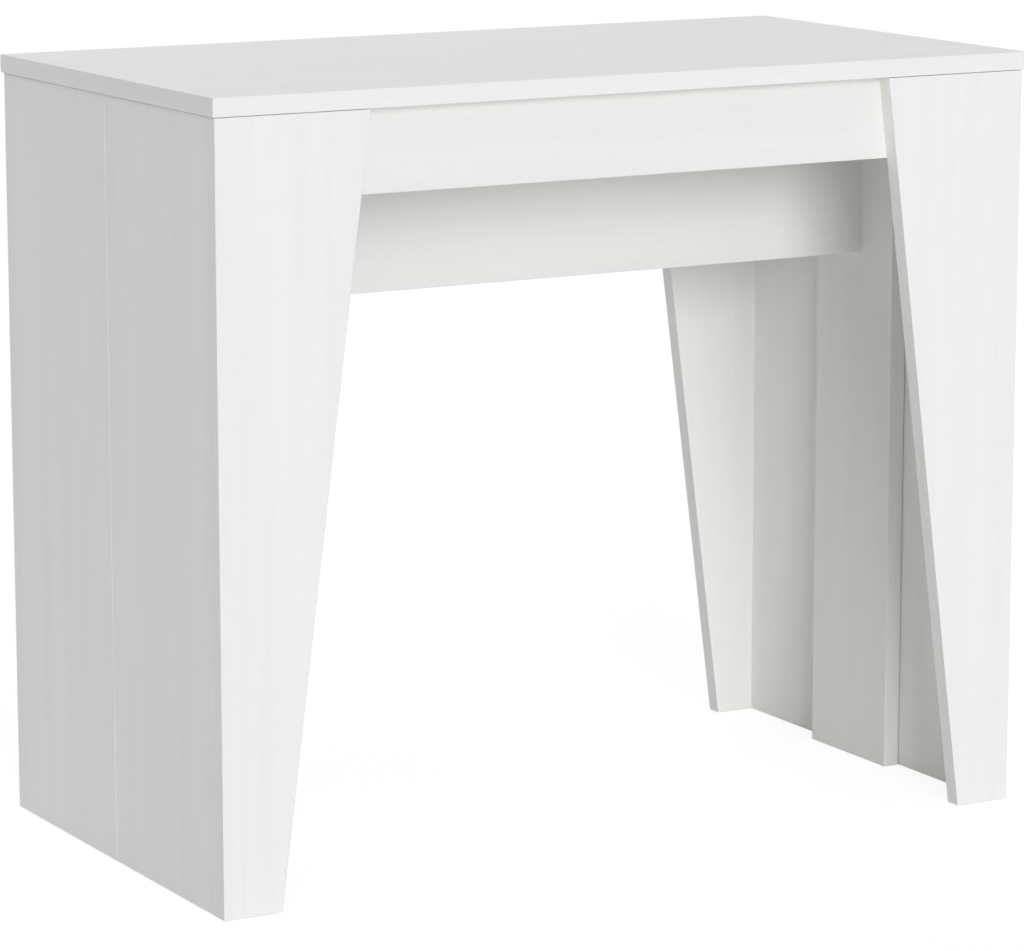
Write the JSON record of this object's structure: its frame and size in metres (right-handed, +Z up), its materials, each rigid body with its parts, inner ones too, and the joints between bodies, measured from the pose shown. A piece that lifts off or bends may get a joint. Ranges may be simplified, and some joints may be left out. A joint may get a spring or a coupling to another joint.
{
  "type": "extending console table",
  "caption": "Console table with flared panel legs; its front and centre leg frames slide out on nested rails to carry extension leaves.",
  "frame": {"origin": "on the floor under the middle of the closed table", "axes": "+X to the right along the front, +Y towards the wall behind it, +Z up; the front frame pulls out along -Y"},
  "size_m": [0.9, 0.48, 0.77],
  "materials": {
    "white_ash": "white ash effect melamine on board, fine matt grain, edges banded to match",
    "aluminium": "mill finish extrusion",
    "zinc_steel": "bright zinc plate",
    "nylon": "natural moulded nylon",
    "beech": "bare fluted dowel"
  },
  "bodies": {
    "rear_frame": {"left_fixed_rail": "aluminium", "right_fixed_rail": "aluminium", "fixed_rail_sliders": "nylon", "fixed_rail_screws": "zinc_steel", "rear_apron": "white_ash", "rear_apron_screws": "zinc_steel", "rear_corner_bracket_screws": "zinc_steel", "rear_corner_brackets": "zinc_steel", "rear_corner_dowels": "beech", "rear_glides": "nylon", "rear_left_leg_panel": "white_ash", "rear_left_side_panel": "white_ash", "rear_right_leg_panel": "white_ash", "rear_right_side_panel": "white_ash", "table_top": "white_ash", "top_bracket_screws": "zinc_steel", "top_brackets": "zinc_steel"},
    "rail_stage_1": {"left_rail_1": "aluminium", "right_rail_1": "aluminium", "rail_1_sliders": "nylon"},
    "rail_stage_2": {"left_rail_2": "aluminium", "right_rail_2": "aluminium", "rail_2_sliders": "nylon"},
    "centre_frame": {"left_centre_rail": "aluminium", "right_centre_rail": "aluminium", "centre_rail_sliders": "nylon", "centre_bracket_screws": "zinc_steel", "centre_cross_panel": "white_ash", "centre_glides": "nylon", "centre_left_leg": "white_ash", "centre_leg_screws": "zinc_steel", "centre_rail_bolts": "zinc_steel", "centre_rail_brackets": "zinc_steel", "centre_right_leg": "white_ash"},
    "rail_stage_4": {"left_rail_4": "aluminium", "right_rail_4": "aluminium", "rail_4_sliders": "nylon"},
    "rail_stage_5": {"left_rail_5": "aluminium", "right_rail_5": "aluminium", "rail_5_sliders": "nylon"},
    "front_frame": {"left_front_rail": "aluminium", "right_front_rail": "aluminium", "front_rail_sliders": "nylon", "front_apron": "white_ash", "front_apron_screws": "zinc_steel", "front_corner_bracket_screws": "zinc_steel", "front_corner_brackets": "zinc_steel", "front_corner_dowels": "beech", "front_glides": "nylon", "front_left_leg_panel": "white_ash", "front_left_side_panel": "white_ash", "front_rail_bolts": "zinc_steel", "front_rail_bracket_screws": "zinc_steel", "front_rail_brackets": "zinc_steel", "front_right_leg_panel": "white_ash", "front_right_side_panel": "white_ash"}
  },
  "joints": [
    {"name": "front_slide", "type": "slide", "parent": "rear_frame", "child": "front_frame", "axis": [0, -1, 0], "range_m": [0, 1.56]},
    {"name": "stage_1_slide", "type": "slide", "parent": "rear_frame", "child": "rail_stage_1", "axis": [0, -1, 0], "range_m": [0, 0.2605]},
    {"name": "stage_2_slide", "type": "slide", "parent": "rear_frame", "child": "rail_stage_2", "axis": [0, -1, 0], "range_m": [0, 0.5205]},
    {"name": "centre_slide", "type": "slide", "parent": "rear_frame", "child": "centre_frame", "axis": [0, -1, 0], "range_m": [0, 0.7805]},
    {"name": "stage_4_slide", "type": "slide", "parent": "rear_frame", "child": "rail_stage_4", "axis": [0, -1, 0], "range_m": [0, 1.0405]},
    {"name": "stage_5_slide", "type": "slide", "parent": "rear_frame", "child": "rail_stage_5", "axis": [0, -1, 0], "range_m": [0, 1.3005]}
  ],
  "couplings": [
    {"joint": "stage_1_slide", "follows": "front_slide", "ratio": 0.16667},
    {"joint": "stage_2_slide", "follows": "front_slide", "ratio": 0.33333},
    {"joint": "centre_slide", "follows": "front_slide", "ratio": 0.5},
    {"joint": "stage_4_slide", "follows": "front_slide", "ratio": 0.66667},
    {"joint": "stage_5_slide", "follows": "front_slide", "ratio": 0.83333}
  ]
}
